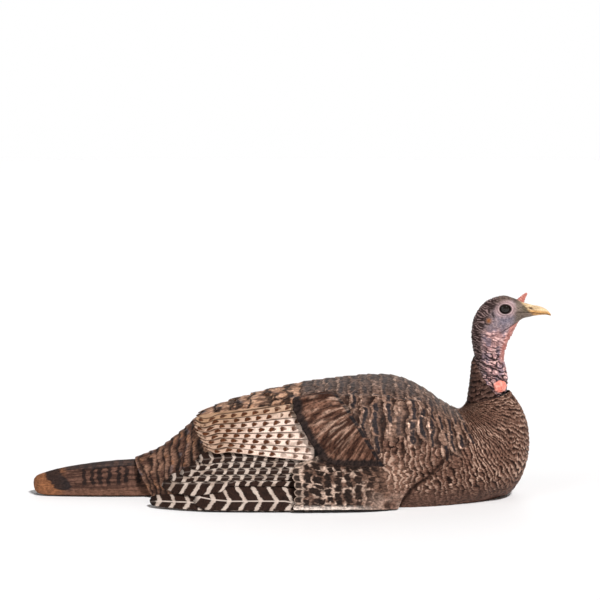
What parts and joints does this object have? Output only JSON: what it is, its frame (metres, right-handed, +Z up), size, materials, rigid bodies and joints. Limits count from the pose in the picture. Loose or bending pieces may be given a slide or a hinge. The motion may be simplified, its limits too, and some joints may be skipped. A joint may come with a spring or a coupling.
{
  "type": "turkey decoy",
  "caption": "Life-size laydown hen turkey decoy: hollow moulded body, drooped wings of separate feathers, bare turning head, plug-in tail.",
  "frame": {"origin": "on the ground, under the middle of the bounding box", "axes": "+X forward to the beak, +Y to the bird's left, +Z up"},
  "size_m": [0.7647, 0.293, 0.2989],
  "materials": {
    "plumage": "moulded feather relief, dark brown with bronze dry brushing",
    "barred_feather": "painted in black and white bars",
    "cream_feather": "painted cream with brown drops",
    "tail_plumage": "painted dark brown with russet bars",
    "head_skin": "painted pinkish grey wrinkled skin, yellow beak",
    "eye": "glossy black",
    "black_plastic": "plain black moulding",
    "steel": "zinc plated",
    "rubber": "matt"
  },
  "bodies": {
    "body": {"body_shell": "plumage", "tail": "tail_plumage", "primary_1_left": "barred_feather", "primary_2_left": "barred_feather", "primary_3_left": "barred_feather", "primary_4_left": "barred_feather", "primary_5_left": "barred_feather", "primary_6_left": "barred_feather", "primary_7_left": "barred_feather", "secondary_1_left": "cream_feather", "secondary_2_left": "cream_feather", "secondary_3_left": "cream_feather", "secondary_4_left": "cream_feather", "secondary_5_left": "cream_feather", "secondary_6_left": "cream_feather", "secondary_7_left": "cream_feather", "secondary_8_left": "cream_feather", "wing_panel_left": "plumage", "wing_screw_1_left": "steel", "wing_screw_2_left": "steel", "base_screw_1_left": "steel", "base_screw_2_left": "steel", "base_screw_3_left": "steel", "primary_1_right": "barred_feather", "primary_2_right": "barred_feather", "primary_3_right": "barred_feather", "primary_4_right": "barred_feather", "primary_5_right": "barred_feather", "primary_6_right": "barred_feather", "primary_7_right": "barred_feather", "secondary_1_right": "cream_feather", "secondary_2_right": "cream_feather", "secondary_3_right": "cream_feather", "secondary_4_right": "cream_feather", "secondary_5_right": "cream_feather", "secondary_6_right": "cream_feather", "secondary_7_right": "cream_feather", "secondary_8_right": "cream_feather", "wing_panel_right": "plumage", "wing_screw_1_right": "steel", "wing_screw_2_right": "steel", "base_screw_1_right": "steel", "base_screw_2_right": "steel", "base_screw_3_right": "steel", "tail_screw": "steel", "base_pan": "black_plastic", "stake_bush": "black_plastic", "stake_tube": "black_plastic", "neck_socket": "black_plastic", "stake_cap": "rubber"},
    "neck_plug_unit": {"neck_plug": "black_plastic", "spring_washer": "steel", "swivel_nut": "steel", "swivel_bolt": "steel"},
    "head": {"head_shell": "head_skin", "neck_cape": "plumage", "neck_bulkhead": "black_plastic", "friction_washer": "rubber", "eye_left": "eye", "eye_right": "eye"}
  },
  "joints": [
    {"name": "head_lift", "type": "slide", "parent": "body", "child": "neck_plug_unit", "axis": [-0.284, 0, 0.9588], "range_m": [0, 0.07]},
    {"name": "head_swivel", "type": "hinge", "parent": "neck_plug_unit", "child": "head", "pos_m": [0.2896, 0, 0.1449], "axis": [-0.284, 0, 0.9588], "range_deg": [-70, 70]}
  ]
}
